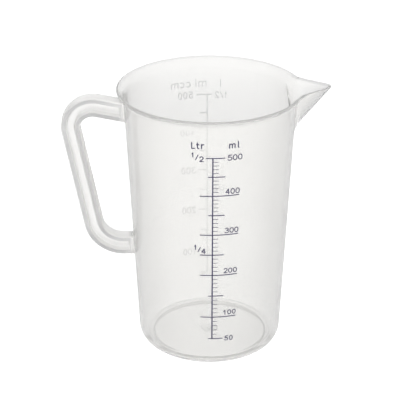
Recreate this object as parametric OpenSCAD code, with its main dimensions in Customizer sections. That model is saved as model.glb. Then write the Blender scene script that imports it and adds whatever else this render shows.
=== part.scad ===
// Half-litre measuring jug: a tapered, slightly see-through plastic beaker with a
// flared lip, a pouring spout and a ribbed side handle, a printed scale on the
// front (-Y) and a second scale raised in the plastic on the back (+Y).
// Millimetres. The origin is on the beaker's axis, on the table it stands on.
// +Z is up, +X points along the spout, and the handle is on the -X side.

/* [Beaker] */
// Height of the lip's top edge above the table
jug_h = 137; // [136:0.5:140]
// Outside radius of the wall, carried straight down to the table
base_r = 35.8; // [35.4:0.1:36.4]
// Slope of the wall away from the vertical, in degrees
draft = 2.89; // [2.75:0.05:3.05]
// Thickness of the wall, measured level
wall_t = 1.4; // [1.2:0.1:1.6]
// Radius of the rounded outside corner between wall and base
corner_r = 7.9; // [7.5:0.1:8.3]

/* [Base] */
// Height of the raised floor inside the beaker
floor_z = 4.2; // [4:0.1:4.6]
// Thickness of the raised floor
floor_t = 1.9; // [1.7:0.1:2.1]
// Radius of the raised floor's edge, inside
floor_r = 31.2; // [30.9:0.1:31.5]
// Radius of the hollow under the floor
recess_r = 29.1; // [28.8:0.1:29.3]
// Lowest point of the groove round the raised floor
groove_z = 2.1; // [1.9:0.1:2.4]
// How much of the round corner is cut off flat to make the standing ring
foot_flat = 0.2; // [0.15:0.05:0.3]
// Radius of the disc left by the moulding gate under the floor
gate_r = 4.4; // [3.5:0.1:5]

/* [Lip] */
// Angle of the flare above the level
flare_a = 42; // [38:1:46]
// How far the lip stands out from the wall
flare_out = 3.4; // [3.1:0.1:3.7]
// Thickness of the flare and of its rounded edge
lip_t = 1.3; // [1.2:0.1:1.4]

/* [Spout] */
// Distance from the axis to the spout's tip
spout_reach = 59.6; // [58:0.2:61]
// Slope of the spout's keel above the level, in degrees
keel_a = 50; // [48:1:53]
// Half angle between the spout's two sides, across the keel
spout_half_a = 41.4; // [40:0.2:43]
// Outside radius of the rounded keel
keel_r = 5.4; // [5:0.1:5.8]
// Thickness of the spout's wall
spout_t = 1.3; // [1.2:0.1:1.4]

/* [Handle] */
// Depth of the handle from its outer face to its finger side
grip_depth = 9.8; // [9.2:0.1:10.4]
// Thickness of each of the two flanges
flange_t = 2.8; // [2.6:0.1:3.1]
// Width of the flanges across the handle
flange_w = 8; // [7.2:0.2:8.6]
// Radius on the flanges' edges
flange_round = 1; // [0.8:0.1:1.2]
// Thickness of the web between the flanges
web_t = 1.8; // [1.6:0.1:2.2]
// Centre of the upper bend: distance from the beaker's axis
bend_top_x = 57.6; // [56.6:0.2:58.6]
// Centre of the upper bend: height above the table
bend_top_z = 117.5; // [116.9:0.3:118.1]
// Outer radius of the upper bend
bend_top_r = 15.6; // [15:0.2:16.2]
// Slope of the upper arm, down towards the beaker, in degrees
arm_slope = 12; // [10:1:14]
// Centre of the lower bend: distance from the beaker's axis
bend_low_x = 43.5; // [42.9:0.2:44.1]
// Centre of the lower bend: height above the table
bend_low_z = 68.2; // [67.4:0.2:69]
// Outer radius of the lower bend
bend_low_r = 20; // [19:0.2:20.6]
// Length of the solid pads where the handle meets the wall
pad_len = 2; // [1.6:0.1:2.6]

/* [Scales] */
// Stand-in thickness of the printed ink
ink_t = 0.1; // [0.08:0.01:0.14]
// Width of the printed long lines
ink_line = 0.5; // [0.42:0.02:0.58]
// Width of the printed upright line
ink_spine = 0.66; // [0.56:0.02:0.76]
// Width of the printed 10 ml ticks
ink_tick = 0.26; // [0.22:0.02:0.34]
// Height of the printed numbers
ink_cap = 3.1; // [2.9:0.1:3.3]
// How far the scale on the back stands out of the wall
relief_t = 0.35; // [0.3:0.05:0.45]
// Width of the raised lines on the back
relief_line = 0.56; // [0.46:0.02:0.66]
// Width of the raised upright line on the back
relief_spine_w = 0.72; // [0.6:0.02:0.8]
// Height of the raised numbers on the back
relief_cap = 3.9; // [3.6:0.1:4.1]

/* [Hidden] */
$fn = 96;

slope = tan(draft);                       // gain in radius for each mm of height
function ro(z) = base_r + slope*z;        // outside of the wall
function ri(z) = ro(z) - wall_t;          // inside of the wall

// rounded outside corner: a circle that touches the wall and dips just below the table
corner_z = corner_r - foot_flat;
wall_z0 = corner_z - corner_r*sin(draft);          // where the corner runs into the wall
corner_x = ro(wall_z0) - corner_r*cos(draft);
// rounded inside corner of the groove
groove_r = 3.4;
groove_cz = groove_z + groove_r;
groove_cx = ri(groove_cz - groove_r*sin(draft)) - groove_r*cos(draft);
recess_z = floor_z - floor_t;

// lip: centre of its rounded edge, and where its faces start
edge_r = lip_t/2;
wall_z1 = jug_h - 4.6;                             // top of the plain wall
lip_x = ro(jug_h - 4) + flare_out - edge_r;
lip_z = jug_h - edge_r;
fn_x = sin(flare_a);
fn_z = cos(flare_a);
lip_under = [lip_x + edge_r*fn_x, lip_z - edge_r*fn_z];
lip_over = [lip_x - edge_r*fn_x, lip_z + edge_r*fn_z];
// a flare line meets a wall line: p - s*(cos, sin) has radius k + slope*z
function meet(p, k) = let(s = (p[0] - k - slope*p[1])/(cos(flare_a) - slope*sin(flare_a)))
  [p[0] - s*cos(flare_a), p[1] - s*sin(flare_a)];
under_root = meet(lip_under, base_r);
over_root = meet(lip_over, base_r - wall_t);

// height of a volume mark: the groove holds a little, the rest is a cone frustum
groove_v = 0.8*PI*(pow(ri(floor_z), 2) - pow(floor_r, 2))*(floor_z - groove_z);
function mark_z(ml) = (pow(pow(ri(floor_z), 3) + 3*slope*(ml*1000 - groove_v)/PI, 1/3) - base_r + wall_t)/slope;
// angle from the middle of an upright line t wide to where a level line starts beside it
function beside(t) = t/2/ro((mark_z(50) + mark_z(500))/2)*180/PI + 0.03;

// hair gap between the straight and the curved lengths of the handle
hair = 0.02;
// handle: both bends as [x, z] centres, and the angle of the grip's outward normal
bt = [-bend_top_x, bend_top_z];
bl = [-bend_low_x, bend_low_z];
bb = bl - bt;
grip_n = 360 + atan2(bb[1], bb[0]) - acos((bend_top_r - bend_low_r)/norm(bb));
grip_len = sqrt(bb*bb - pow(bend_low_r - bend_top_r, 2));

plastic = [0.93, 0.93, 0.92, 0.55];
ink = [0.10, 0.09, 0.17];

// ---------------------------------------------------------------- beaker ----

// a solid cone that fills the beaker's outside, grown by g
module cup_cone(g, z0 = -1, z1 = jug_h) {
  translate([0, 0, z0]) cylinder(h = z1 - z0, r1 = ro(z0) + g, r2 = ro(z1) + g);
}

// outline of the beaker's lip and everything inside it, for trimming the spout
module lip_fill_2d() {
  polygon([[0, 60], [ro(60), 60], under_root, lip_under, [lip_x, lip_z], lip_over, [0, lip_over[1]]]);
  translate([lip_x, lip_z]) circle(r = edge_r);
  translate([0, lip_z]) square([lip_x, edge_r]);
}

// cross-section of the spout, across its keel, with its rounding radius r
module spout_2d(r) {
  a = spout_half_a;
  l = 40;
  e = r - 0.03;                                    // the sides cut the round keel a hair inside it
  translate([0, keel_r]) circle(r = r);
  polygon([
    [e*cos(a), -e*sin(a) + keel_r], [e*cos(a) + l*sin(a), -e*sin(a) + keel_r + l*cos(a)],
    [-e*cos(a) - l*sin(a), -e*sin(a) + keel_r + l*cos(a)], [-e*cos(a), -e*sin(a) + keel_r]]);
}

// that section run along the keel, from inside the beaker to above the lip
module spout_prism(r) {
  translate([spout_reach, 0, jug_h]) rotate([0, 90 - keel_a, 0]) rotate([0, 0, 90])
    translate([0, 0, -50]) linear_extrude(height = 70) spout_2d(r);
}

module cup_wall() color(plastic) difference() {
  rotate_extrude() polygon([[ri(wall_z0), wall_z0], [ro(wall_z0), wall_z0],
    [ro(wall_z1), wall_z1], [ri(wall_z1), wall_z1]]);
  spout_prism(keel_r - spout_t);
}

module cup_base() color(plastic) rotate_extrude() difference() {
  // outside: standing ring and round corner
  union() {
    square([corner_x, wall_z0]);
    intersection() {
      translate([corner_x, corner_z]) circle(r = corner_r);
      translate([corner_x - 0.01, 0]) square([corner_r + 1, wall_z0]);
    }
  }
  // hollow under the floor, with a sloping edge
  polygon([[-1, -1], [recess_r, -1], [recess_r, 0.5], [recess_r - 0.6, recess_z], [-1, recess_z]]);
  // inside, above the raised floor
  polygon([[-1, floor_z], [floor_r - 0.5, floor_z], [floor_r, floor_z - 0.35], [floor_r, groove_cz],
    [floor_r, wall_z0 + 1], [-1, wall_z0 + 1]]);
  // groove round the raised floor
  intersection() {
    union() {
      translate([groove_cx, groove_cz]) circle(r = groove_r);
      polygon([[floor_r - 0.01, groove_z + 0.25], [floor_r + 0.25, groove_z], [groove_cx, groove_z],
        [groove_cx, wall_z0 + 1], [floor_r - 0.01, wall_z0 + 1]]);
      polygon([[floor_r, groove_cz - groove_r*sin(draft)], [ri(groove_cz - groove_r*sin(draft)), groove_cz - groove_r*sin(draft)],
        [ri(wall_z0 + 1), wall_z0 + 1], [floor_r, wall_z0 + 1]]);
    }
    translate([floor_r - 0.01, 0]) square([10, wall_z0 + 1]);
  }
}

module rim_lip() color(plastic) difference() {
  rotate_extrude() {
    polygon([[ri(wall_z1), wall_z1], [ro(wall_z1), wall_z1], under_root, lip_under,
      [lip_x, lip_z], lip_over, over_root]);
    translate([lip_x, lip_z]) circle(r = edge_r);
  }
  spout_prism(keel_r - spout_t);
}

module pour_spout() color(plastic) difference() {
  spout_prism(keel_r);
  spout_prism(keel_r - spout_t);
  rotate_extrude() lip_fill_2d();
  translate([-100, -100, jug_h]) cube([250, 200, 60]);
  translate([-200, -100, 40]) cube([200, 200, 140]);
}

// round vestige left where the plastic was let into the mould, under the floor
module gate_mark() color(plastic) {
  translate([0, 0, recess_z - 0.5]) cylinder(h = 0.5, r1 = gate_r - 0.5, r2 = gate_r);
  translate([0, 0, recess_z - 1.1]) cylinder(h = 0.6, r = 1);
}

// ---------------------------------------------------------------- handle ----

module rounded_bar(x0, x1, w, r) {
  translate([x0 + r, -w/2]) square([x1 - x0 - 2*r, w]);
  translate([x0, -w/2 + r]) square([x1 - x0, w - 2*r]);
  for (x = [x0 + r, x1 - r], y = [-w/2 + r, w/2 - r]) translate([x, y]) circle(r = r);
}

// one strip of the handle's section: kind 0 outer flange, 1 web, 2 inner flange, 3 all of the gap.
// It lies between radius rr - grip_depth and rr of a bend whose outer radius is rr.
module handle_2d(kind, rr) {
  if (kind == 0) rounded_bar(rr - flange_t, rr, flange_w, flange_round);
  if (kind == 1) translate([rr - grip_depth + flange_t, -web_t/2]) square([grip_depth - 2*flange_t, web_t]);
  if (kind == 2) rounded_bar(rr - grip_depth, rr - grip_depth + flange_t, flange_w, flange_round);
  if (kind == 3) translate([rr - grip_depth + flange_t, -flange_w/2]) square([grip_depth - 2*flange_t, flange_w]);
}

// a bend about the point c, from angle a0 to a1 in the XZ plane
module bend(kind, c, rr, a0, a1) {
  translate([c[0], 0, c[1]]) rotate([90, 0, 0]) rotate([0, 0, a0])
    rotate_extrude(angle = a1 - a0) handle_2d(kind, rr);
}

// a straight run that leaves the bend about c at angle a and is l long
module run(kind, c, rr, a, l) {
  translate([c[0], 0, c[1]]) rotate([90, 0, 0]) rotate([0, 0, a])
    rotate([90, 0, 0]) translate([0, 0, hair]) linear_extrude(height = l - 2*hair) handle_2d(kind, rr);
}

module handle_strip(kind) {
  run(kind, bt, bend_top_r, 90 - arm_slope, 17);
  bend(kind, bt, bend_top_r, 90 - arm_slope, grip_n);
  translate([0, 0, 0]) run_down(kind);
  bend(kind, bl, bend_low_r, grip_n, 270);
  run_in(kind);
}

// the straight grip between the two bends
module run_down(kind) {
  d = [cos(grip_n), sin(grip_n)];
  s = bl + (bend_low_r - bend_top_r)*d;
  run(kind, s, bend_top_r, grip_n, grip_len);
}

// the level lower arm
module run_in(kind) {
  translate([bl[0] + 8, 0, bl[1]]) rotate([90, 0, 0]) rotate([0, 0, 270])
    rotate([90, 0, 0]) linear_extrude(height = 8 - hair) handle_2d(kind, bend_low_r);
}

module handle_outer_flange() color(plastic) difference() {
  handle_strip(0);
  cup_cone(0);
}

module handle_inner_flange() color(plastic) difference() {
  handle_strip(2);
  cup_cone(0);
}

module handle_web() color(plastic) difference() {
  handle_strip(1);
  cup_cone(pad_len);
}

// solid pads that close the gap between the flanges at the wall
module handle_upper_pad() color(plastic) intersection() {
  difference() {
    run(3, bt, bend_top_r, 90 - arm_slope, 17);
    cup_cone(0);
  }
  cup_cone(pad_len);
}

module handle_lower_pad() color(plastic) intersection() {
  difference() {
    run_in(3);
    cup_cone(0);
  }
  cup_cone(pad_len);
}

// ------------------------------------------------------------- lettering ----

function unit(v) = v/norm(v);
function perp(v) = [-v[1], v[0]];
// a point of the line through the points p, moved w/2 to its left, with mitred corners
function off(p, i, w) = let(n = len(p),
    a = unit(i > 0 ? p[i] - p[i - 1] : p[1] - p[0]),
    b = unit(i < n - 1 ? p[i + 1] - p[i] : p[n - 1] - p[n - 2]),
    m = unit(perp(a) + perp(b)))
  p[i] + m*(w/2/(m*perp(a)));
function arc(c, r, a0, a1, n) = [for (i = [0:n]) let(a = a0 + (a1 - a0)*i/n) [c[0] + r[0]*cos(a), c[1] + r[1]*sin(a)]];

module pen(p, w) {
  polygon(concat([for (i = [0:len(p) - 1]) off(p, i, w)], [for (i = [len(p) - 1:-1:0]) off(p, i, -w)]));
}

module loop(c, r, w) {
  difference() {
    polygon(arc(c, r, 0, 345, 23));
    polygon(arc(c, [r[0] - w, r[1] - w], 0, 345, 23));
  }
}

// plain upright characters, centred on x = 0, standing on y = 0: h high, w wide, pen width t
module glyph(c, h, w, t) {
  x = w/2 - t/2;
  y = h - t/2;
  if (c == "0") loop([0, h/2], [w/2, h/2], t);
  if (c == "1") {
    translate([-t/2 + 0.12*w, 0]) square([t, h]);
    polygon([[0.12*w, h], [0.12*w, h - 1.1*t], [-0.36*w, 0.64*h], [-0.36*w, 0.64*h + t]]);
  }
  if (c == "2") {
    pen(concat(arc([0, y - x], [x, x], 165, -20, 9), [[-x + 0.16*w, 0.5*t]]), t);
    translate([-w/2 + 0.03*w, 0]) square([0.96*w, t]);
  }
  if (c == "3") {
    pen(arc([0, y - 0.235*(h - t)], [0.9*x, 0.235*(h - t)], 150, -82, 10), t);
    pen(arc([0, t/2 + 0.265*(h - t)], [x, 0.265*(h - t)], 82, -150, 10), t);
    translate([-0.22*w, 0.03*t + 0.53*(h - t)]) square([0.38*w, 0.94*t]);
  }
  if (c == "4") {
    polygon([[0.2*w - t/2, h - 0.02], [0.2*w + 0.3*t, h - 0.02], [-w/2 + 1.15*t, 0.2*h + 0.4*t], [-w/2, 0.2*h + 0.4*t]]);
    translate([-w/2 - 0.03, 0.2*h]) square([w, t]);
    translate([0.2*w - t/2, 0]) square([t, h]);
  }
  if (c == "5") pen(concat([[x, y], [-x + 0.14*w, y], [-x + 0.05*w, 0.50*h]], arc([-0.02*w, 0.31*h], [x, 0.31*h - t/2], 105, -150, 11)), t);
  if (c == "l") translate([-t/2, 0]) square([t, h]);
  if (c == "L") pen([[-x, h], [-x, t/2], [x + t/2, t/2]], t);
  if (c == "t") {
    translate([-t/2, 0]) square([t, 0.92*h]);
    translate([-w/2, 0.62*h]) square([w, t]);
  }
  if (c == "r") {
    translate([-w/2, 0]) square([t, 0.72*h]);
    pen(arc([x, 0.40*h], [2*x, 0.32*h - t/2], 180, 88, 6), t);
  }
  if (c == "m") {
    for (i = [-1, 0, 1]) translate([i*x - t/2, 0]) square([t, 0.52*h]);
    for (i = [-1, 1]) pen(arc([i*x/2, 0.5*h], [x/2, 0.22*h - t/2], 180, 0, 8), t);
  }
  if (c == "c") pen(arc([0, 0.36*h], [x, 0.36*h - t/2], 48, 312, 14), t);
  if (c == "/") polygon([[-w/2, 0], [-w/2 + t, 0], [w/2, h], [w/2 - t, h]]);
}

// stands a drawing on the wall at angle a and height z; side 0 is the front, 180 the back
module on_wall(side, a, z) {
  rotate([0, 0, side + a]) translate([0, -ro(z) + 3, z]) rotate([90, 0, 0]) linear_extrude(height = 6) children();
}

// keeps only a skin of thickness t on the wall
module skin(t, z0 = 10, z1 = 132) {
  intersection() {
    children();
    difference() {
      cup_cone(t, z0, z1);
      cup_cone(0, z0, z1);
    }
  }
}

// a word whose characters are dp degrees apart and start at angle a
module word(side, s, a, z, h, w, t, dp) {
  for (i = [0:len(s) - 1]) on_wall(side, a + i*dp, z) glyph(s[i], h, w, t);
}

// a level line on the wall from angle a0 to a1
module level_line(side, z, t, a0, a1, d) {
  rotate([0, 0, side - 90 + a0]) rotate_extrude(angle = a1 - a0)
    polygon([[ro(z - t/2), z - t/2], [ro(z - t/2) + d, z - t/2], [ro(z + t/2) + d, z + t/2], [ro(z + t/2), z + t/2]]);
}

// an upright line on the wall from height z0 to z1
module upright(side, z0, z1, t, d) {
  aw = t/ro((z0 + z1)/2)*180/PI;
  rotate([0, 0, side - 90 - aw/2]) rotate_extrude(angle = aw)
    polygon([[ro(z0), z0], [ro(z0) + d, z0], [ro(z1) + d, z1], [ro(z1), z1]]);
}

// ------------------------------------------- raised scale on the back ------

back = 180;

module relief_spine() color(plastic) upright(back, mark_z(50) - relief_line/2, mark_z(500) + relief_line/2, relief_spine_w, relief_t);

module relief_volume_lines() color(plastic) {
  s = beside(relief_spine_w);
  level_line(back, mark_z(500), relief_line, s, 7.8, relief_t);
  level_line(back, mark_z(500), relief_line, -3.4, -s, relief_t);
  for (v = [100:100:400]) level_line(back, mark_z(v), relief_line, s, 7.2, relief_t);
  for (v = [50:100:450]) level_line(back, mark_z(v), relief_line, s, 5.6, relief_t);
}

module relief_ml_numbers() color(plastic) skin(relief_t) {
  w = 2.3;
  for (v = ["500", "400", "300", "200", "100"], i = [0]) {
    n = 100*(ord(v[0]) - 48);
    word(back, v, n == 500 ? 11.8 : 10.7, mark_z(n) - relief_cap/2, relief_cap, w, 0.56, 4.1);
  }
}

module relief_litre_fractions() color(plastic) skin(relief_t) {
  for (v = [[500, "2"], [250, "4"]]) {
    z = mark_z(v[0]) - relief_cap/2;
    on_wall(back, -13.3, z + 0.2) glyph("1", 3.6, 1.5, 0.52);
    on_wall(back, -10.4, z) glyph("/", 3.8, 1.8, 0.52);
    on_wall(back, -7, z + 0.1) glyph(v[1], 3.6, 2.4, 0.52);
  }
}

module relief_unit_labels() color(plastic) skin(relief_t) {
  z = mark_z(500) + 4.2;
  on_wall(back, 3.4, z) glyph("m", 4.4, 4.4, 0.58);
  on_wall(back, 8, z) glyph("l", 4.4, 1, 0.58);
  on_wall(back, 13.6, z) glyph("c", 4.4, 2.7, 0.58);
  on_wall(back, 18.2, z) glyph("c", 4.4, 2.7, 0.58);
  on_wall(back, 23.8, z) glyph("m", 4.4, 4.4, 0.58);
  on_wall(back, -9.4, z) glyph("l", 4.1, 1, 0.58);
}

// ----------------------------------------------- printed scale, front ------

module print_spine() color(ink) upright(0, mark_z(50) - ink_line/2, mark_z(500) + ink_line/2, ink_spine, ink_t);

// lines in two halves, left and right of the upright line
module print_line(v, a0, a1, t) {
  s = beside(ink_spine);
  if (a0 < -s) level_line(0, mark_z(v), t, a0, -s, ink_t);
  level_line(0, mark_z(v), t, s, a1, ink_t);
}

module print_long_lines() color(ink) {
  for (v = [100:100:400]) print_line(v, -8.9, 18.4, ink_line);
}

module print_short_lines() color(ink) {
  print_line(500, -4.6, 8.3, ink_line);
  print_line(250, -9.1, 8.2, ink_line);
  for (v = [450, 350, 150, 50]) print_line(v, -3.1, 8.4, ink_line);
}

module print_10ml_ticks() color(ink) {
  for (v = [60:10:490]) if (v % 50 != 0) print_line(v, 0, 3.9, ink_tick);
}

module print_ml_numbers() color(ink) skin(ink_t) {
  for (v = ["400", "300", "200", "100"])
    word(0, v, 10.1, mark_z(100*(ord(v[0]) - 48)) + 0.7, ink_cap, 2.2, 0.46, 3.45);
  word(0, "500", 11.2, mark_z(500) - ink_cap/2, ink_cap, 2.2, 0.46, 3.45);
  word(0, "50", 11.4, mark_z(50) - ink_cap/2, ink_cap, 2.2, 0.46, 3.5);
}

module print_litre_fractions() color(ink) skin(ink_t) {
  for (v = [[500, "2", -10.4, -1.7], [250, "4", -9.3, 0.9]]) {
    z = mark_z(v[0]) + v[3];
    on_wall(0, v[2] - 2.8, z + 1.9) glyph("1", 2.7, 1.4, 0.48);
    on_wall(0, v[2] - 0.1, z + 0.6) glyph("/", 2.9, 1.6, 0.48);
    on_wall(0, v[2] + 3, z - 0.2) glyph(v[1], 2.95, 2.1, 0.48);
  }
}

module print_unit_labels() color(ink) skin(ink_t) {
  z = mark_z(500) + 4.75;
  on_wall(0, -12.8, z) glyph("L", 3.6, 1.9, 0.56);
  on_wall(0, -9.7, z) glyph("t", 3.6, 1.8, 0.56);
  on_wall(0, -6.7, z) glyph("r", 3.6, 1.5, 0.56);
  on_wall(0, 12.6, z) glyph("m", 3.6, 3.2, 0.56);
  on_wall(0, 16.9, z) glyph("l", 3.7, 1, 0.56);
}

cup_wall();
cup_base();
rim_lip();
pour_spout();
handle_outer_flange();
handle_web();
handle_inner_flange();
handle_upper_pad();
handle_lower_pad();
gate_mark();
relief_spine();
relief_volume_lines();
relief_ml_numbers();
relief_litre_fractions();
relief_unit_labels();
print_spine();
print_long_lines();
print_short_lines();
print_10ml_ticks();
print_ml_numbers();
print_litre_fractions();
print_unit_labels();
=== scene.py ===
"""Looks for the half-litre measuring jug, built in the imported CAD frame.

Lengths are worked out in millimetres and written in metres. The jug stands on
z = 0, its spout points along +X, its handle is on -X, the printed scale is on
the front (-Y) and the raised scale on the back (+Y).
"""
import math

import bmesh
import bpy
import numpy as np
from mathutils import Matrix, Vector


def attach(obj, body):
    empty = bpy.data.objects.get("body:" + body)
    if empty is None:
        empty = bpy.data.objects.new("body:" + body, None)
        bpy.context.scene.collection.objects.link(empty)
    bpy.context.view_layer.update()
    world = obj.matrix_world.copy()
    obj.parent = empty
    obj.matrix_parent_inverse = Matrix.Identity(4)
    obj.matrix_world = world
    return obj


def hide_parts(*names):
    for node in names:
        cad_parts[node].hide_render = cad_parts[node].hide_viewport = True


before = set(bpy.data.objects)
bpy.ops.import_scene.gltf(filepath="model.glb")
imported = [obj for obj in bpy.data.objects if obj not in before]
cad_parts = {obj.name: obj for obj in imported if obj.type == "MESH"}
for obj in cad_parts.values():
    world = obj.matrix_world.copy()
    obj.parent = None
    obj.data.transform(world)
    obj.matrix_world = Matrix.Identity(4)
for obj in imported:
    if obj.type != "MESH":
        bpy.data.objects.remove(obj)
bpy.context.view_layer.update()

MM = 0.001
rad, deg = math.radians, math.degrees

# ------------------------------------------------------------ jug sizes, mm --
JUG_H, BASE_R, DRAFT, WALL = 137.0, 35.8, 2.89, 1.4
SLOPE = math.tan(rad(DRAFT))
CORNER_R, FOOT_FLAT = 7.9, 0.2
FLOOR_Z, FLOOR_T, FLOOR_R = 4.2, 1.9, 31.2
RECESS_R, GROOVE_Z, GROOVE_R, GATE_R = 29.1, 2.1, 3.4, 4.4
FLARE_A, FLARE_OUT, LIP_T = 42.0, 3.4, 1.3
REACH, KEEL_A, SPOUT_A, KEEL_R, SPOUT_T = 59.6, 50.0, 41.4, 5.4, 1.3
DEPTH, FLANGE_T, FLANGE_W, WEB_T, POCKET_DRAFT = 9.8, 2.75, 8.0, 1.8, 0.15
GRIP_DEPTH = 9.3
BEND_TOP, BEND_TOP_R = (-57.6, 117.5), 15.6
BEND_LOW, BEND_LOW_R = (-43.5, 68.2), 20.0
ARM_SLOPE = 12.0
RELIEF_T = 0.35


def ro(z):
    return BASE_R + SLOPE * z


def ri(z):
    return ro(z) - WALL


def mark_z(ml):
    """Height of a volume mark: the groove round the floor holds a little, the rest is a cone frustum."""
    groove = 0.8 * math.pi * (ri(FLOOR_Z) ** 2 - FLOOR_R ** 2) * (FLOOR_Z - GROOVE_Z)
    return ((ri(FLOOR_Z) ** 3 + 3 * SLOPE * (ml * 1000 - groove) / math.pi) ** (1 / 3) - BASE_R + WALL) / SLOPE


# ------------------------------------------------------------- mesh helpers --
def rounded(points, closed, n=5):
    """A polyline through (x, y, radius) corners with each corner rounded by n + 1 points."""
    out, m = [], len(points)
    for i, (x, y, r) in enumerate(points):
        p = np.array((x, y), float)
        if r <= 0 or (not closed and i in (0, m - 1)):
            out.append(p)
            continue
        a = np.array(points[i - 1][:2], float) - p
        b = np.array(points[(i + 1) % m][:2], float) - p
        a, b = a / np.linalg.norm(a), b / np.linalg.norm(b)
        half = 0.5 * math.acos(max(-1.0, min(1.0, float(a @ b))))
        c = p + (a + b) / np.linalg.norm(a + b) * r / math.sin(half)
        s, e = p + a * r / math.tan(half), p + b * r / math.tan(half)
        a0 = math.atan2(s[1] - c[1], s[0] - c[0])
        a1 = math.atan2(e[1] - c[1], e[0] - c[0])
        d = (a1 - a0 + math.pi) % (2 * math.pi) - math.pi
        out += [c + r * np.array((math.cos(a0 + d * k / n), math.sin(a0 + d * k / n))) for k in range(n + 1)]
    return out


def mesh_object(name, verts_mm, faces, material=None):
    me = bpy.data.meshes.new(name)
    me.from_pydata([tuple(float(c) * MM for c in v) for v in verts_mm], [], faces)
    me.validate()
    bm = bmesh.new()
    bm.from_mesh(me)
    bmesh.ops.recalc_face_normals(bm, faces=bm.faces)
    bm.to_mesh(me)
    bm.free()
    ob = bpy.data.objects.new(name, me)
    bpy.context.scene.collection.objects.link(ob)
    if material:
        me.materials.append(material)
    return ob


def tube(rings, closed):
    """Faces of a tube through rings of equal length, with end caps unless it is closed."""
    n, m = len(rings), len(rings[0])
    verts = [v for ring in rings for v in ring]
    faces = []
    for i in range(n if closed else n - 1):
        j = (i + 1) % n
        for k in range(m):
            l = (k + 1) % m
            faces.append((i * m + k, i * m + l, j * m + l, j * m + k))
    if not closed:
        faces.append(tuple(range(m))[::-1])
        faces.append(tuple((n - 1) * m + k for k in range(m)))
    return verts, faces


def smooth(ob, angle):
    me = ob.data
    me.shade_smooth()
    me.set_sharp_from_angle(angle=rad(angle))


# ------------------------------------------------- beaker, lip, spout, base --
def wedge(theta, z, offset):
    """Distance from the axis to the spout's V-shaped side or round keel, along each angle, at height z."""
    rho = KEEL_R - offset
    a, k = rad(SPOUT_A), rad(KEEL_A)
    s, b = np.abs(np.sin(theta)), np.cos(theta) * math.sin(k)
    c = REACH * math.sin(k) + (z - JUG_H) * math.cos(k) - KEEL_R
    side = (rho + c * math.sin(a)) / np.maximum(s * math.cos(a) + b * math.sin(a), 1e-6)
    q = s * s + b * b
    disc = b * b * c * c - q * (c * c - rho * rho)
    circ = (b * c + np.sqrt(np.maximum(disc, 0))) / q
    on_keel = (disc > 0) & (c - b * circ <= -rho * math.sin(a))
    r = np.where(on_keel, circ, side)
    return np.where((np.cos(theta) > 0.35) & (r > 0), r, -1.0)


def smax(a, b, k):
    h = np.maximum(k - np.abs(a - b), 0) / k
    return np.maximum(a, b) + h * h * k / 4


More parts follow.
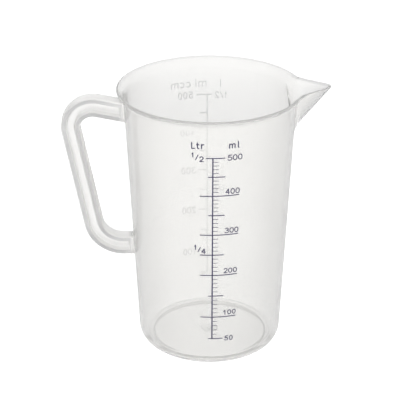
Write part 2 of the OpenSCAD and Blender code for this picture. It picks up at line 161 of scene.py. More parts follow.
def beaker():
    edge = LIP_T / 2
    corner_z = CORNER_R - FOOT_FLAT
    wall_z0 = corner_z - CORNER_R * math.sin(rad(DRAFT))
    corner_x = ro(wall_z0) - CORNER_R * math.cos(rad(DRAFT))
    lip_x, lip_z = ro(JUG_H - 4) + FLARE_OUT - edge, JUG_H - edge
    fx, fz = math.sin(rad(FLARE_A)), math.cos(rad(FLARE_A))
    under = (lip_x + edge * fx, lip_z - edge * fz)
    over = (lip_x - edge * fx, lip_z + edge * fz)

    def meet(p, k):
        s = (p[0] - k - SLOPE * p[1]) / (fz - SLOPE * fx)
        return p[0] - s * fz, p[1] - s * fx

    u_root, o_root = meet(under, BASE_R), meet(over, BASE_R - WALL)
    rows = []  # (radius, height, height for the spout, 0 outside .. 1 inside)

    def add(points, s=0.0):
        for x, z in points:
            rows.append((x, z, z, s))

    def seg(p, q, n, s=0.0, ends=False):
        ks = range(0 if ends else 1, n + 1 if ends else n)
        add([(p[0] + (q[0] - p[0]) * k / n, p[1] + (q[1] - p[1]) * k / n) for k in ks], s)

    # under the floor
    rz = FLOOR_Z - FLOOR_T
    under_pts = rounded([(0, rz - 1.1, 0), (1, rz - 1.1, 0.2), (1, rz - 0.5, 0.15), (GATE_R - 0.5, rz - 0.5, 0.2),
                         (GATE_R, rz, 0.25), (RECESS_R - 0.6, rz, 0.5), (RECESS_R, 0.5, 0.4), (RECESS_R, 0, 0.25),
                         (corner_x + math.sqrt(CORNER_R ** 2 - corner_z ** 2), 0, 0)], False, 4)
    add([under_pts[0], (0.5, under_pts[0][1])])
    for p, q in zip(under_pts[1:-1], under_pts[2:]):
        rows.append((p[0], p[1], p[1], 0.0))
        if q[0] - p[0] > 4:
            seg(p, q, 5)
    # round corner
    a0 = -math.asin(corner_z / CORNER_R)
    a1 = -rad(DRAFT)
    n = 16
    add([(corner_x + CORNER_R * math.cos(a0 + (a1 - a0) * k / n), corner_z + CORNER_R * math.sin(a0 + (a1 - a0) * k / n))
         for k in range(n + 1)])
    # wall, up to the lip
    seg((ro(wall_z0), wall_z0), (ro(104), 104), 16)
    fillet = rounded([(ro(120), 120, 0), (u_root[0], u_root[1], 4.5), (under[0], under[1], 0)], False, 10)[1:-1]
    seg((ro(104), 104), fillet[0], 80, ends=True)
    add(fillet[1:])
    # flare, rounded edge, flare
    z_top = JUG_H - 0.42
    z_f0 = fillet[-1][1]
    n = 5
    for k in range(1, n + 1):
        x = fillet[-1][0] + (under[0] - fillet[-1][0]) * k / n
        z = z_f0 + (under[1] - z_f0) * k / n
        rows.append((x, z, z_f0 + (z_top - z_f0) * k / n, 0.0))
    n = 16
    for k in range(1, n):
        psi = rad(FLARE_A - 90 + 180 * k / n)
        phi = math.pi * k / n
        cs = math.cos(phi)
        s = 0.5 - 0.5 * math.copysign(abs(cs) ** 0.6, cs)
        rows.append((lip_x + edge * math.cos(psi), lip_z + edge * math.sin(psi), z_top + (JUG_H - z_top) * math.sin(phi) ** 0.6, s))
    fillet = rounded([(over[0], over[1], 0), (o_root[0], o_root[1], 5.5), (ri(120), 120, 0)], False, 10)[1:-1]
    n = 5
    for k in range(n):
        x = over[0] + (fillet[0][0] - over[0]) * k / n
        z = over[1] + (fillet[0][1] - over[1]) * k / n
        rows.append((x, z, z_top + (fillet[0][1] - z_top) * k / n, 1.0))
    add(fillet, 1.0)
    seg(fillet[-1], (ri(104), 104), 80, 1.0)
    # inside wall and groove
    g_cz = GROOVE_Z + GROOVE_R
    g_z = g_cz - GROOVE_R * math.sin(rad(DRAFT))
    g_cx = ri(g_z) - GROOVE_R * math.cos(rad(DRAFT))
    seg((ri(104), 104), (ri(g_z), g_z), 16, 1.0, ends=True)
    n = 12
    add([(g_cx + GROOVE_R * math.cos(a), g_cz + GROOVE_R * math.sin(a))
         for a in [a1 + (rad(-90) - a1) * k / n for k in range(1, n + 1)]], 1.0)
    add(rounded([(g_cx, GROOVE_Z, 0), (FLOOR_R - 0.02, GROOVE_Z + 0.1, 0), (FLOOR_R - 0.1, FLOOR_Z, 0.5), (20, FLOOR_Z, 0)], False, 5)[1:-1], 1.0)
    add([(26, FLOOR_Z), (20, FLOOR_Z), (12, FLOOR_Z), (5, FLOOR_Z), (0, FLOOR_Z)], 1.0)

    fine = np.arange(-27, 27.01, 0.3)
    rest = np.linspace(27, 333, 229)[1:-1]
    theta = np.radians(np.concatenate([fine, rest]))
    verts, starts = [], []
    k_out, k_in = 3.0, 4.0
    for r0, z0, zs, s in rows:
        if r0 < 1e-6:
            starts.append((len(verts), 1))
            verts.append((0, 0, z0))
            continue
        w = (1 - s) * wedge(theta, zs, 0.0) + s * wedge(theta, zs, SPOUT_T)
        k = k_out + (k_in - k_out) * s
        near = w > r0 - k
        r = np.where(near, smax(np.full_like(w, r0), w, k), r0)
        t = np.clip((w - r0) / 2.0 + 0.5, 0, 1)
        t = np.where(near, t * t * (3 - 2 * t), 0)
        z = z0 + (zs - z0) * t
        starts.append((len(verts), len(theta)))
        verts += list(zip(r * np.cos(theta), r * np.sin(theta), z))
    faces = []
    for (i, ni), (j, nj) in zip(starts[:-1], starts[1:]):
        m = max(ni, nj)
        for k in range(m):
            l = (k + 1) % m
            if ni == 1:
                faces.append((i, j + k, j + l))
            elif nj == 1:
                faces.append((i + k, j, i + l))
            else:
                faces.append((i + k, j + k, j + l, i + l))
    return mesh_object("beaker", verts, faces)


# ------------------------------------------------------------------- handle --
def handle():
    h, w = FLANGE_W / 2, WEB_T / 2

    def section(web, grow=0.0, depth=DEPTH):
        """Corners (depth from the outer face, across) of the H, the same number of points for every web; grow widens it all round."""
        d, f, g = depth, FLANGE_T, grow
        r = min(0.6, (h - web) * 0.45)
        right = [(-g, h + g, 1.15), (f - POCKET_DRAFT, h + g, r), (f + POCKET_DRAFT, web + g, r * 0.9), (d - f - POCKET_DRAFT, web + g, r * 0.9),
                 (d - f + POCKET_DRAFT, h + g, r), (d + g, h + g, 1.15)]
        left = [(x, -y, q) for x, y, q in right[::-1]]
        return rounded(right + left, True, 5)

    bt, bl = np.array(BEND_TOP), np.array(BEND_LOW)
    bb = bl - bt
    grip = 2 * math.pi + math.atan2(bb[1], bb[0]) - math.acos((BEND_TOP_R - BEND_LOW_R) / np.linalg.norm(bb))
    top = rad(90 - ARM_SLOPE)
    frames = []  # (point on the outer face, outward normal angle)

    def along(c, r, a0, a1, n):
        for k in range(n + 1):
            a = a0 + (a1 - a0) * k / n
            frames.append((c + r * np.array((math.cos(a), math.sin(a))), a))

    along(bt, BEND_TOP_R, top, grip, 36)
    p, q = frames[-1][0], bl + BEND_LOW_R * np.array((math.cos(grip), math.sin(grip)))
    for k in range(1, 12):
        frames.append((p + (q - p) * k / 12, grip))
    along(bl, BEND_LOW_R, grip, rad(270), 30)

    def place(pt, a, sec):
        n = np.array((math.cos(a), math.sin(a)))
        out = []
        for dpt, y in sec:
            x, z = pt - n * dpt
            out.append(np.array((x, y, z)))
        return out

    def to_wall(ring, direction, gap):
        """Slides each point along the arm until it is gap outside the beaker's wall."""
        out = []
        for v in ring:
            t = 0.0
            for _ in range(30):
                x, y, z = v + direction * t
                t += (math.hypot(x, y) - ro(z) - gap) / math.hypot(direction[0], 0) * 0.98
            out.append(v + direction * t)
        return out

    # rings near the wall: the web swells into a solid pad, the outline into a fillet, and the end is inside the wall
    pad = h - 0.04
    ends = [(3.3, w, 0), (2.7, w, 0), (2.5, w + 0.06, 0), (2.36, w + 0.25, 0), (2.28, w + 0.6, 0), (2.2, pad - 0.6, 0), (2.12, pad - 0.2, 0),
            (1.98, pad, 0), (1.0, pad, 0), (0.4, pad, 0.02), (0.22, pad, 0.1), (0.09, pad, 0.22), (0.0, pad, 0.38), (-0.7, pad, 0.38)]
    rings = []
    for (pt, a), sgn in ((frames[0], 1), (frames[-1], -1)):
        d2 = np.array((math.sin(a), -math.cos(a))) * sgn
        d3 = np.array((d2[0], 0.0, d2[1]))
        part = [to_wall(place(pt, a, section(web, grow)), d3, gap) for gap, web, grow in ends]
        rings.append(part)
    bend_n = 36, 30
    body = []
    for i, (pt, a) in enumerate(frames):
        t = max(1 - i / bend_n[0], 1 - (len(frames) - 1 - i) / bend_n[1], 0)
        body.append(place(pt, a, section(w, 0.0, GRIP_DEPTH + (DEPTH - GRIP_DEPTH) * t * t * (3 - 2 * t))))
    all_rings = rings[0][::-1] + body + rings[1]
    verts, faces = tube(all_rings, False)
    ob = mesh_object("handle_sweep", verts, faces)
    bm = bmesh.new()
    bm.from_mesh(ob.data)
    bmesh.ops.triangulate(bm, faces=[f for f in bm.faces if len(f.verts) > 4])
    bm.to_mesh(ob.data)
    bm.free()
    return ob


# ---------------------------------------------------------------- lettering --
def arc(cx, cy, rx, ry, a0, a1, n):
    return [(cx + rx * math.cos(rad(a0 + (a1 - a0) * k / n)), cy + ry * math.sin(rad(a0 + (a1 - a0) * k / n))) for k in range(n + 1)]


def line(p, q, n=1):
    return [(p[0] + (q[0] - p[0]) * k / n, p[1] + (q[1] - p[1]) * k / n) for k in range(n + 1)]


def glyph(c, W, H):
    """Pen strokes of a plain character in a box W wide and H high: [(closed, points)]."""
    if c == "0":
        pts = []
        for k in range(28):
            a = 2 * math.pi * k / 28
            ca, sa = math.cos(a), math.sin(a)
            pts.append((W / 2 + W / 2 * math.copysign(abs(ca) ** 0.95, ca), H / 2 + H / 2 * math.copysign(abs(sa) ** 0.95, sa)))
        return [(True, pts)]
    if c == "1":
        return [(False, line((0.62 * W, 0), (0.62 * W, H), 3)), (False, line((0.62 * W, H), (0.12 * W, 0.74 * H), 2))]
    if c == "2":
        top = arc(0.5 * W, 0.71 * H, 0.46 * W, 0.29 * H, 165, -20, 12)
        return [(False, top + [(0.74 * W, 0.45 * H), (0.4 * W, 0.24 * H), (0.03 * W, 0.02 * H)]), (False, line((0.03 * W, 0), (W, 0), 3))]
    if c == "3":
        return [(False, arc(0.46 * W, 0.77 * H, 0.44 * W, 0.23 * H, 150, -90, 12)),
                (False, arc(0.46 * W, 0.27 * H, 0.54 * W, 0.27 * H, 90, -150, 12))]
    if c == "4":
        return [(False, line((0.72 * W, H), (0.0, 0.3 * H), 3)), (False, line((0.0, 0.3 * H), (W, 0.3 * H), 3)),
                (False, line((0.72 * W, H), (0.72 * W, 0), 3))]
    if c == "5":
        return [(False, line((0.94 * W, H), (0.16 * W, H), 3)), (False, line((0.16 * W, H), (0.08 * W, 0.54 * H), 2)),
                (False, arc(0.44 * W, 0.32 * H, 0.56 * W, 0.32 * H, 130, -150, 14))]
    if c == "L":
        return [(False, line((0, H), (0, 0), 3)), (False, line((0, 0), (W, 0), 3))]
    if c == "l":
        return [(False, line((0.5 * W, H), (0.5 * W, 0), 3))]
    if c == "j":  # a small l with a tail
        return [(False, line((0.15 * W, H), (0.15 * W, 0.18 * H), 3) + arc(0.6 * W, 0.17 * H, 0.45 * W, 0.17 * H, 190, 275, 4))]
    if c == "t":
        return [(False, line((0.36 * W, 0.96 * H), (0.36 * W, 0.2 * H), 3) + arc(0.76 * W, 0.18 * H, 0.4 * W, 0.18 * H, 190, 285, 4)),
                (False, line((0, 0.68 * H), (0.92 * W, 0.68 * H), 3))]
    if c == "r":
        return [(False, line((0, 0.7 * H), (0, 0), 3)), (False, arc(0.95 * W, 0.34 * H, 0.95 * W, 0.36 * H, 168, 82, 6))]
    if c == "m":
        x = 0.5 * W
        return [(False, line((0, 0.68 * H), (0, 0), 2)),
                (False, arc(0.25 * W, 0.46 * H, 0.25 * W, 0.22 * H, 175, 0, 8) + line((x, 0.4 * H), (x, 0), 2)),
                (False, arc(0.75 * W, 0.46 * H, 0.25 * W, 0.22 * H, 175, 0, 8) + line((W, 0.4 * H), (W, 0), 2))]
    if c == "c":
        return [(False, arc(0.52 * W, 0.34 * H, 0.52 * W, 0.34 * H, 50, 310, 14))]
    if c == "/":
        return [(False, line((0, 0), (W, H), 3))]
    return []


def stations(points, closed, width, cap=True):
    """Centre, half-width and direction for each station of a pen stroke."""
    pts = [np.array(p, float) for p in points]
    n, hw, out = len(pts), width / 2, []
    for i in range(n):
        if closed:
            a, b = pts[i] - pts[i - 1], pts[(i + 1) % n] - pts[i]
        else:
            a = pts[i] - pts[i - 1] if i else pts[1] - pts[0]
            b = pts[i + 1] - pts[i] if i < n - 1 else pts[-1] - pts[-2]
        a, b = a / np.linalg.norm(a), b / np.linalg.norm(b)
        t = (a + b) / np.linalg.norm(a + b)
        out.append((pts[i], hw / max(0.5, float(t @ a)), t))
    if not closed and cap:
        steps = [(math.cos(rad(x)), math.sin(rad(x))) for x in (15, 40, 65)]
        p, _, t = out[0]
        head = [(p - t * hw * c, hw * s, t) for c, s in steps]
        p, _, t = out[-1]
        tail = [(p + t * hw * c, hw * s, t) for c, s in steps[::-1]]
        out = head + out + tail
    return out


def on_wall(x, y, h, side, angle, z0):
    """A point of a drawing, laid on the wall: side 0 is the front and 180 the back, angle in degrees, h out of the wall."""
    z = z0 + y
    a = rad(angle) + x / ro(z0)
    r = ro(z) + h
    s = 1 if side == 0 else -1
    return s * r * math.sin(a), -s * r * math.cos(a), z


def stroke(points, closed, width, side, angle, z0, high, sink, draft=0.0, cap=True):
    """Vertices and faces of one pen stroke on the wall."""
    rings = []
    for p, hw, t in stations(points, closed, width, cap):
        n = np.array((-t[1], t[0]))
        a, b = p + n * hw, p - n * hw
        c, d = p - n * max(hw - draft, hw * 0.4), p + n * max(hw - draft, hw * 0.4)
        rings.append([on_wall(a[0], a[1], -sink, side, angle, z0), on_wall(b[0], b[1], -sink, side, angle, z0),
                      on_wall(c[0], c[1], high, side, angle, z0), on_wall(d[0], d[1], high, side, angle, z0)])
    return tube(rings, closed)


def word(chars, width, high, sink, side, draft=0.0):
    """Strokes of a list of (character, centre angle, baseline height, box width, box height)."""
    out = []
    for c, a, z, w, h in chars:
        W, H = w - width, h - width
        for closed, pts in glyph(c, W, H):
            pts = [(x - W / 2, y + width / 2) for x, y in pts]
            out.append(stroke(pts, closed, width, side, a, z, high, sink, draft))
    return out


def level(z, a0, a1, width, high, sink, side, draft=0.0, cap=True):
    """A level line on the wall from angle a0 to a1."""
    r = ro(z)
    n = max(2, int(abs(a1 - a0) / 1.0))
    pts = [(rad(a0 + (a1 - a0) * k / n) * r, 0) for k in range(n + 1)]
    if cap:
        pts[0], pts[-1] = (pts[0][0] + width / 2, 0), (pts[-1][0] - width / 2, 0)
    return stroke(pts, False, width, side, 0, z, high, sink, draft, cap)


def upright(z0, z1, a0, a1, width, high, sink, side, draft=0.0):
    """A line up the wall, from angle a0 at z0 to a1 at z1."""
    n = 24
    rings = []
    for k in range(n + 1):
        z = z0 + (z1 - z0) * k / n
        a = a0 + (a1 - a0) * k / n
        hw = width / 2
        rings.append([on_wall(-hw, 0, -sink, side, a, z), on_wall(hw, 0, -sink, side, a, z),
                      on_wall(hw - draft, 0, high, side, a, z), on_wall(-hw + draft, 0, high, side, a, z)])
    return tube(rings, False)


def joined(name, parts, material):
    verts, faces = [], []
    for v, f in parts:
        base = len(verts)
        verts += v
        faces += [tuple(i + base for i in x) for x in f]
    return mesh_object(name, verts, faces, material)


# ---------------------------------------------------------------- materials --
def nodes_of(name):
    m = bpy.data.materials.new(name)
    m.use_nodes = True
    nt = m.node_tree
    nt.nodes.clear()
    out = nt.nodes.new("ShaderNodeOutputMaterial")
    p = nt.nodes.new("ShaderNodeBsdfPrincipled")
    nt.links.new(p.outputs[0], out.inputs["Surface"])
    return m, nt, p, out


def noise(nt, scale, detail=2.0, rough=0.5, coords="Object", stretch=(1, 1, 1)):
    tc = nt.nodes.new("ShaderNodeTexCoord")
    mp = nt.nodes.new("ShaderNodeMapping")
    mp.inputs["Scale"].default_value = stretch
    n = nt.nodes.new("ShaderNodeTexNoise")
    n.inputs["Scale"].default_value = scale
    n.inputs["Detail"].default_value = detail
    n.inputs["Roughness"].default_value = rough
    nt.links.new(tc.outputs[coords], mp.inputs["Vector"])
    nt.links.new(mp.outputs[0], n.inputs["Vector"])
    return n.outputs["Fac"]


def map_range(nt, value, lo, hi, from_lo=0.3, from_hi=0.7):
    m = nt.nodes.new("ShaderNodeMapRange")
    m.inputs["From Min"].default_value = from_lo
    m.inputs["From Max"].default_value = from_hi
    m.inputs["To Min"].default_value = lo
    m.inputs["To Max"].default_value = hi
    nt.links.new(value, m.inputs["Value"])
    return m.outputs["Result"]


def mixed(nt, fac, a, b):
    m = nt.nodes.new("ShaderNodeMix")
    m.data_type = "RGBA"
    nt.links.new(fac, m.inputs["Factor"])
    for sock, v in ((m.inputs[6], a), (m.inputs[7], b)):
        if isinstance(v, tuple):
            sock.default_value = (*v, 1)
        else:
            nt.links.new(v, sock)
    return m.outputs[2]


def attribute(nt, name):
    n = nt.nodes.new("ShaderNodeAttribute")
    n.attribute_name = name
    return n.outputs["Fac"]


def number(nt, v):
    n = nt.nodes.new("ShaderNodeValue")
    n.outputs[0].default_value = v
    return n.outputs[0]


def multiply_add(nt, a, k, b):
    m = nt.nodes.new("ShaderNodeMath")
    m.operation = "MULTIPLY_ADD"
    nt.links.new(a, m.inputs[0])
    m.inputs[1].default_value = k
    nt.links.new(b, m.inputs[2])
    return m.outputs[0]


def plastic_material():
    """Natural polypropylene: clear but hazy, with painted shade greying it where it is thick (handle, keel), where it
    is seen at a grazing angle, and on the raised scale.
    """
    m, nt, p, out = nodes_of("natural_polypropylene")
    cloudy = map_range(nt, noise(nt, 38, 3, stretch=(1, 1, 0.4)), 0.0, 1.0)
    wall = mixed(nt, cloudy, (0.982, 0.978, 0.967), (0.992, 0.989, 0.979))
    # painted shade: greys the handle flanges' front faces, the keel and the far edge of the lip; also the gate mark's
    # own grey tone
    colour = mixed(nt, attribute(nt, "painted_shade_and_gate"), wall, (0.55, 0.55, 0.565))
    # painted shade: the raised scale's faces are greyed
    colour = mixed(nt, attribute(nt, "raised"), colour, (0.56, 0.56, 0.57))
    # painted shade: the wall is greyed towards 0.82 where it is seen at a grazing angle, except on the grip
    lw = nt.nodes.new("ShaderNodeLayerWeight")
    lw.inputs["Blend"].default_value = 0.5
    grazing_painted_shade = nt.nodes.new("ShaderNodeMix")
    grazing_painted_shade.data_type = "RGBA"
    grazing_painted_shade.blend_type = "MULTIPLY"
    wall_only = multiply_add(nt, attribute(nt, "grip"), -1.0, number(nt, 1.0))
    grazing_shade_amount = nt.nodes.new("ShaderNodeMath")
    grazing_shade_amount.operation = "MULTIPLY"
    nt.links.new(map_range(nt, lw.outputs["Facing"], 0.0, 1.0, 0.22, 1.0), grazing_shade_amount.inputs[0])
    nt.links.new(wall_only, grazing_shade_amount.inputs[1])
    nt.links.new(grazing_shade_amount.outputs[0], grazing_painted_shade.inputs["Factor"])
    nt.links.new(colour, grazing_painted_shade.inputs[6])
    grazing_painted_shade.inputs[7].default_value = (0.82, 0.82, 0.825, 1)
    nt.links.new(grazing_painted_shade.outputs[2], p.inputs["Base Color"])
    p.inputs["IOR"].default_value = 1.49
    milky = multiply_add(nt, attribute(nt, "milky"), -0.2, number(nt, 0.90))
    nt.links.new(multiply_add(nt, attribute(nt, "grip"), 0.01, milky), p.inputs["Transmission Weight"])
    rough = map_range(nt, noise(nt, 260, 3), 0.03, 0.045)
    rough = multiply_add(nt, attribute(nt, "raised"), 0.25, rough)
    rough = multiply_add(nt, attribute(nt, "grip"), 0.3, rough)
    rough = multiply_add(nt, map_range(nt, lw.outputs["Facing"], 0.0, 1.0, 0.55, 1.0), 0.25, rough)
    nt.links.new(rough, p.inputs["Roughness"])
    bump = nt.nodes.new("ShaderNodeBump")
    bump.inputs["Strength"].default_value = 0.1
    bump.inputs["Distance"].default_value = 0.0001
    nt.links.new(noise(nt, 90, 2, stretch=(1, 1, 0.35)), bump.inputs["Height"])
    nt.links.new(bump.outputs[0], p.inputs["Normal"])
    haze = nt.nodes.new("ShaderNodeVolumeScatter")
    haze.inputs["Color"].default_value = (1, 1, 1, 1)
    haze.inputs["Density"].default_value = 120.0
    haze.inputs["Anisotropy"].default_value = 0.6
    dim = nt.nodes.new("ShaderNodeVolumeAbsorption")
    dim.inputs["Color"].default_value = (0, 0, 0, 1)
    dim.inputs["Density"].default_value = 5.0
    both = nt.nodes.new("ShaderNodeAddShader")
    nt.links.new(haze.outputs[0], both.inputs[0])
    nt.links.new(dim.outputs[0], both.inputs[1])
    nt.links.new(both.outputs[0], out.inputs["Volume"])
    return m


def ink_material():
    m, nt, p, out = nodes_of("screen_print_ink")
    ramp = nt.nodes.new("ShaderNodeValToRGB")
    ramp.color_ramp.elements[0].color = (0.012, 0.010, 0.035, 1)
    ramp.color_ramp.elements[1].color = (0.040, 0.035, 0.075, 1)
    nt.links.new(noise(nt, 1400, 4, 0.6), ramp.inputs["Fac"])
    nt.links.new(ramp.outputs[0], p.inputs["Base Color"])
    nt.links.new(map_range(nt, noise(nt, 900, 2), 0.38, 0.55), p.inputs["Roughness"])
    bump = nt.nodes.new("ShaderNodeBump")
    bump.inputs["Strength"].default_value = 0.2
    bump.inputs["Distance"].default_value = 0.00003
    nt.links.new(noise(nt, 2500, 3), bump.inputs["Height"])
    nt.links.new(bump.outputs[0], p.inputs["Normal"])
    return m


def floor_material():
    m, nt, p, out = nodes_of("studio_floor_paper")
    ramp = nt.nodes.new("ShaderNodeValToRGB")
    ramp.color_ramp.elements[0].color = (0.075, 0.075, 0.075, 1)
    ramp.color_ramp.elements[1].color = (0.085, 0.085, 0.085, 1)
    nt.links.new(noise(nt, 12, 3), ramp.inputs["Fac"])
    nt.links.new(ramp.outputs[0], p.inputs["Base Color"])
    p.inputs["Roughness"].default_value = 0.9
    p.inputs["Specular IOR Level"].default_value = 0.1
    p.inputs["Emission Color"].default_value = (1, 1, 1, 1)
    # the paper is burnt out to pure white in the picture, and a little darker as seen through the plastic
    lp = nt.nodes.new("ShaderNodeLightPath")
    nt.links.new(map_range(nt, lp.outputs["Is Camera Ray"], 0.93, 1.1, 0.0, 1.0), p.inputs["Emission Strength"])
    return m


clear = plastic_material()
ink = ink_material()

# ------------------------------------------------- raised scale on the back --
SPINE_W, REL = 0.72, dict(high=RELIEF_T, sink=0.5, side=180, draft=0.05)
CHAR_H, CHAR_W = 3.9, 2.3


def relief_parts():
    groups = {"relief_spine": [upright(mark_z(50) - 0.21, mark_z(500) + 0.21, 0, 0, SPINE_W, **REL)]}
    lines = [level(mark_z(500), -3.4, 7.8, 0.56, **REL)]
    lines += [level(mark_z(v), 0, 7.2, 0.56, **REL) for v in (100, 200, 300, 400)]
    lines += [level(mark_z(v), 0, 5.6, 0.56, **REL) for v in (50, 150, 250, 350, 450)]
    groups["relief_volume_lines"] = lines
    nums = []
    for v in (500, 400, 300, 200, 100):
        a0 = 11.8 if v == 500 else 10.7
        nums += [(c, a0 + 4.1 * i, mark_z(v) - CHAR_H / 2, CHAR_W, CHAR_H) for i, c in enumerate(str(v))]
    groups["relief_ml_numbers"] = word(nums, 0.56, RELIEF_T, 0.5, 180, 0.05)
    fr = []
    for v, c in ((500, "2"), (250, "4")):
        z = mark_z(v) - CHAR_H / 2
        fr += [("1", -13.3, z + 0.2, 1.5, 3.6), ("/", -10.4, z, 1.8, 3.8), (c, -7.0, z + 0.1, 2.4, 3.6)]
    groups["relief_litre_fractions"] = word(fr, 0.52, RELIEF_T, 0.5, 180, 0.05)
    z = mark_z(500) + 4.2
    un = [("m", 3.4, z, 4.4, 4.4), ("l", 8.0, z, 0.6, 4.4), ("c", 13.6, z, 2.7, 4.4), ("c", 18.2, z, 2.7, 4.4),
          ("m", 23.8, z, 4.4, 4.4), ("l", -9.4, z, 0.7, 4.1)]
    groups["relief_unit_labels"] = word(un, 0.58, RELIEF_T, 0.5, 180, 0.05)
    return groups


# ------------------------------------------------------------- the moulding --
def union(target, others):
    group = bpy.data.collections.new("to_join")
    for o in others:
        group.objects.link(o)
    mod = target.modifiers.new("join", "BOOLEAN")
    mod.operation = "UNION"
    mod.solver = "MANIFOLD"
    mod.operand_type = "COLLECTION"
    mod.collection = group
    dg = bpy.context.evaluated_depsgraph_get()
    me = bpy.data.meshes.new_from_object(target.evaluated_get(dg))
    target.modifiers.clear()
    bpy.data.collections.remove(group)
    old = target.data
    target.data = me
    bpy.data.meshes.remove(old)
    for o in others:
        bpy.data.objects.remove(o)


cup = beaker()
grip = handle()
strokes = []
for name, parts in relief_parts().items():
    for i, (v, f) in enumerate(parts):
        strokes.append(mesh_object(f"{name}_{i}", v, f))
print("parts ready", len(cup.data.vertices), len(grip.data.vertices), len(strokes))
union(cup, [grip] + strokes)
cup.name = cup.data.name = "jug_moulding"
cup.data.materials.clear()
cup.data.materials.append(clear)
smooth(cup, 32)


def mark_regions(me):
    """Attributes for the plastic: raised (the raised scale, greyed there as painted shade), grip (the duller handle and
    throat of the spout), milky (the handle's solid ends and its sides, and the throat), and one for painted shade (grey
    on the handle flanges' front faces, the keel and the far edge of the lip, standing in for the shade of thick
    plastic) that also holds the gate mark's own grey tone."""
    co, no = np.empty(len(me.vertices) * 3), np.empty(len(me.vertices) * 3)
    me.vertices.foreach_get("co", co)
    me.vertices.foreach_get("normal", no)
    x, y, z = co.reshape(-1, 3).T / MM
    nx, ny, nz = no.reshape(-1, 3).T
    off = -x - (BASE_R + SLOPE * z)
    arm_top = BEND_TOP[1] + BEND_TOP_R / math.cos(rad(ARM_SLOPE)) - (x - BEND_TOP[0]) * math.tan(rad(ARM_SLOPE))
    on_grip = np.clip((off + 0.3) / 1.5, 0, 1) * ((z < arm_top + 0.6) | (x < -50))
    # Painted shade: handle faces turned to the front (-Y), the spout's keel and the far edge of the lip are greyed as
    # if by thick plastic; the gate mark gets its own grey tone.
    flange = np.where(0.6 * nx + 0.8 * nz > 0.05, (-ny - 0.86) / 0.12, (-ny - 0.6) / 0.35)
    flange = on_grip * np.clip(flange, 0.04, 1) * np.where(np.abs(y) < 1.3, 0.12, 1.0)
    keel = np.clip(1 - np.abs(y) / 9, 0, 1) * np.clip((x - ro(z) - 1.0) / 2.0, 0, 1) * (nx * x + ny * y > 0) * (z < 136.2)
    edge = np.clip((z - 135.9) / 0.5, 0, 1) * np.clip(y / 3, 0, 1) * np.where(x > 41, 2.0, 1.0)
    gate = np.clip((GATE_R + 0.1 - np.hypot(x, y)) / 0.2, 0, 1) * (z < 3)
    painted_shade_and_gate = np.max([0.78 * flange, 0.9 * keel, 0.3 * edge, 0.4 * gate], axis=0)
    me.attributes.new("painted_shade_and_gate", "FLOAT", "POINT").data.foreach_set("value", painted_shade_and_gate.astype(np.float32))
    near = np.abs(wedge(np.arctan2(y, x), z, 0.0) - ro(z)) * (x > 25)
    throat = np.clip(1 - near / 3.5, 0, 1) * (x > 25) * (z > 112)
    root = on_grip * np.clip((3.2 + 1.4 * (z > 128) - off) / 1.0, 0, 1)
    side = on_grip * np.clip((0.75 - np.abs(ny)) / 0.35, 0, 1) * np.clip((0.6 * nx + 0.8 * nz - 0.2) / 0.4, 0, 1)
    foot = (np.abs(y) < 4.9) & (x < -30) & (off > -0.6) & (off < 2) & (((z > 119.3) & (z < 131.5)) | ((z > 47.3) & (z < 58.9)))
    milky = np.max([root, 0.6 * throat, 1.3 * side, 0.9 * foot], axis=0)
    me.attributes.new("milky", "FLOAT", "POINT").data.foreach_set("value", milky.astype(np.float32))
    me.attributes.new("grip", "FLOAT", "POINT").data.foreach_set("value", np.maximum(on_grip, 0.7 * throat).astype(np.float32))
    ce = np.empty(len(me.polygons) * 3)
    me.polygons.foreach_get("center", ce)
    x, y, z = ce.reshape(-1, 3).T / MM
    r = np.hypot(x, y)
    # faces of the raised scale, greyed as painted shade and made rougher in the material
    up = (r - (BASE_R + SLOPE * z) > 0.13) & (y > 0.6 * r) & (z > 10) & (z < 130)
    me.attributes.new("raised", "FLOAT", "FACE").data.foreach_set("value", up.astype(np.float32))
    print("raised faces", int(up.sum()))


mark_regions(cup.data)
print("moulding", len(cup.data.vertices), "vertices", len(cup.data.polygons), "faces")
bm = bmesh.new()
bm.from_mesh(cup.data)
print("open edges", sum(1 for e in bm.edges if len(e.link_faces) != 2), "volume cm3", bm.calc_volume() * 1e6)
bm.free()
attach(cup, "root")
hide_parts("cup_wall", "cup_base", "rim_lip", "pour_spout", "handle_outer_flange", "handle_web", "handle_inner_flange",
            "handle_upper_pad", "handle_lower_pad", "gate_mark", "relief_spine", "relief_volume_lines", "relief_ml_numbers",
            "relief_litre_fractions", "relief_unit_labels")

# ------------------------------------------------- printed scale, the front --
INK = dict(high=0.05, sink=0.06, side=0)


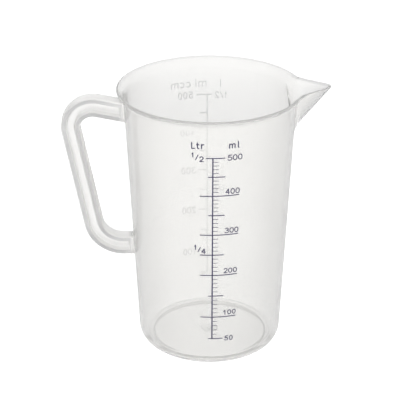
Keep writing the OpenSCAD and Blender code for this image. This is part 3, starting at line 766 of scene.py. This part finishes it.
def print_parts():
    out = {}
    a0, a1 = 0.0, 0.0
    out["print_spine"] = [upright(mark_z(50) - 0.2, mark_z(500) + 0.2, a0, a1, 0.66, **INK)]
    out["print_long_lines"] = [level(mark_z(v), -8.9, 18.4, 0.5, **INK) for v in (100, 200, 300, 400)]
    out["print_short_lines"] = [level(mark_z(500), -4.6, 8.3, 0.5, **INK), level(mark_z(250), -9.1, 8.2, 0.5, **INK)]
    out["print_short_lines"] += [level(mark_z(v), -3.1, 8.4, 0.5, **INK) for v in (450, 350, 150, 50)]
    out["print_10ml_ticks"] = [level(mark_z(v), 0.2, 3.9, 0.26, **INK) for v in range(60, 500, 10) if v % 50]
    nums = []
    for v, a, da, up, w, h in ((400, 10.1, 3.45, 0.75, 2.2, 3.05), (300, 10.0, 3.45, 0.8, 2.2, 3.0), (200, 9.7, 3.5, 0.95, 2.1, 2.85), (100, 9.6, 3.6, 1.0, 2.0, 2.8)):
        nums += [(c, a + da * i, mark_z(v) + up, w, h) for i, c in enumerate(str(v))]
    nums += [(c, 11.2 + 3.45 * i, mark_z(500) - 1.55, 2.3, 3.1) for i, c in enumerate("500")]
    nums += [(c, 11.3 + 3.7 * i, mark_z(50) - 1.6, 1.95, 2.9) for i, c in enumerate("50")]
    out["print_ml_numbers"] = word(nums, 0.46, 0.05, 0.06, 0)
    fr = []
    for v, c, a, dz in ((500, "2", -10.4, -1.7), (250, "4", -9.3, 0.9)):
        z = mark_z(v) + dz
        fr += [("1", a - 2.8, z + 1.9, 1.4, 2.7), ("/", a - 0.1, z + 0.6, 1.6, 2.9), (c, a + 3.0, z - 0.2, 2.15, 2.95)]
    out["print_litre_fractions"] = word(fr, 0.48, 0.05, 0.06, 0)
    z = mark_z(500) + 4.75
    un = [("L", -12.8, z, 1.9, 3.6), ("t", -9.7, z, 1.8, 3.6), ("r", -6.7, z, 1.5, 3.6), ("m", 12.6, z, 3.2, 3.6), ("j", 16.9, z, 1.2, 3.7)]
    out["print_unit_labels"] = word(un, 0.56, 0.05, 0.06, 0)
    return out


for name, parts in print_parts().items():
    ob = joined(name + "_ink", parts, ink)
    smooth(ob, 40)
    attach(ob, "root")
    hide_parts(name)

# ------------------------------------------------------- floor, light, view --
fl = mesh_object("studio_floor", [(-4000, -4000, 0), (4000, -4000, 0), (4000, 4000, 0), (-4000, 4000, 0)], [(0, 1, 2, 3)], floor_material())
if fl.data.polygons[0].normal.z < 0:
    fl.data.flip_normals()

world = bpy.data.worlds.new("studio")
bpy.context.scene.world = world
world.use_nodes = True
wn = world.node_tree
wn.nodes.clear()
wo = wn.nodes.new("ShaderNodeOutputWorld")
bg = wn.nodes.new("ShaderNodeBackground")
bg.inputs["Color"].default_value = (1, 1, 1, 1)
bg.inputs["Strength"].default_value = 0.75
tc = wn.nodes.new("ShaderNodeTexCoord")
sx = wn.nodes.new("ShaderNodeSeparateXYZ")
wn.links.new(tc.outputs["Generated"], sx.inputs[0])
wn.links.new(map_range(wn, sx.outputs["Y"], 0.88, 1.0, 0.1, 0.9), bg.inputs["Strength"])
wn.links.new(bg.outputs[0], wo.inputs["Surface"])


def area(name, loc, aim, size, power, colour=(1, 1, 1)):
    li = bpy.data.lights.new(name, "AREA")
    li.shape = "RECTANGLE"
    li.size, li.size_y = size
    li.energy = power
    li.color = colour
    ob = bpy.data.objects.new(name, li)
    bpy.context.scene.collection.objects.link(ob)
    ob.location = loc
    ob.rotation_euler = (Vector(aim) - Vector(loc)).to_track_quat("-Z", "Y").to_euler()
    return ob


area("softbox_top", (0.1, 0.35, 1.5), (0, 0, 0.05), (3.4, 2.6), 1)
fill = area("softbox_front", (-0.15, -1.3, 0.3), (0, 0, 0.07), (1.2, 0.5), 27, (1.0, 0.985, 0.95))
fill.visible_glossy = fill.visible_transmission = False

cam = bpy.data.cameras.new("photo_view")
cam.sensor_width = 36
cam.lens = 148.2
cam.clip_start, cam.clip_end = 0.05, 30
co = bpy.data.objects.new("photo_view", cam)
bpy.context.scene.collection.objects.link(co)
co.location = (-0.02633, -0.75201, 0.42667)
co.rotation_euler = (math.pi / 2 - 0.4359, 0, -0.0285)
bpy.context.scene.camera = co

sc = bpy.context.scene
sc.view_settings.view_transform = "Standard"
sc.view_settings.look = "None"
sc.cycles.max_bounces = 24
sc.cycles.transmission_bounces = 20
sc.cycles.glossy_bounces = 8
sc.cycles.transparent_max_bounces = 16
sc.cycles.volume_bounces = 8
